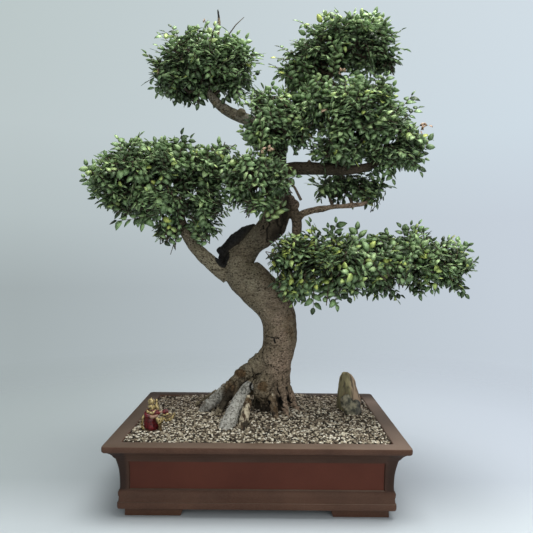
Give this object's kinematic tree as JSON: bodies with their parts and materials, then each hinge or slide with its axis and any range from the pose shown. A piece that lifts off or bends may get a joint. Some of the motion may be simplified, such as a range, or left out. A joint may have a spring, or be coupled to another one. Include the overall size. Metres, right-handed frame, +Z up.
{
  "type": "chinese elm bonsai",
  "caption": "S-curved Chinese elm bonsai with separate leaf pads, surface roots and grit, growing in a rectangular unglazed clay pot with a flared rim and bracket feet.",
  "frame": {"origin": "on the surface that the pot stands on, under the middle of the whole object's box", "axes": "+Z up; +X to the right along the pot's long side as seen from the front; +Y to the back"},
  "size_m": [0.9174, 0.436, 1.112],
  "materials": {
    "clay": "unglazed brown clay",
    "mesh": "dark plastic mesh",
    "grit": "coarse tan grit",
    "bark": "grey-brown bark",
    "leaf": "glossy dark green leaf",
    "stone": "streaked olive and tan stone",
    "slate": "grey-green stone",
    "glaze": "gold and dark red glaze"
  },
  "bodies": {
    "root": {"pot": "clay", "drain_screen_1": "mesh", "drain_screen_2": "mesh", "soil": "grit", "tree": "bark", "foliage_upper_left": "leaf", "foliage_top": "leaf", "foliage_upper_right": "leaf", "foliage_centre_upper": "leaf", "foliage_centre_lower": "leaf", "foliage_small_right": "leaf", "foliage_lower_right": "leaf", "foliage_lower_left": "leaf", "stone_tall": "stone", "stone_small": "slate", "ornament": "glaze"}
  },
  "joints": []
}
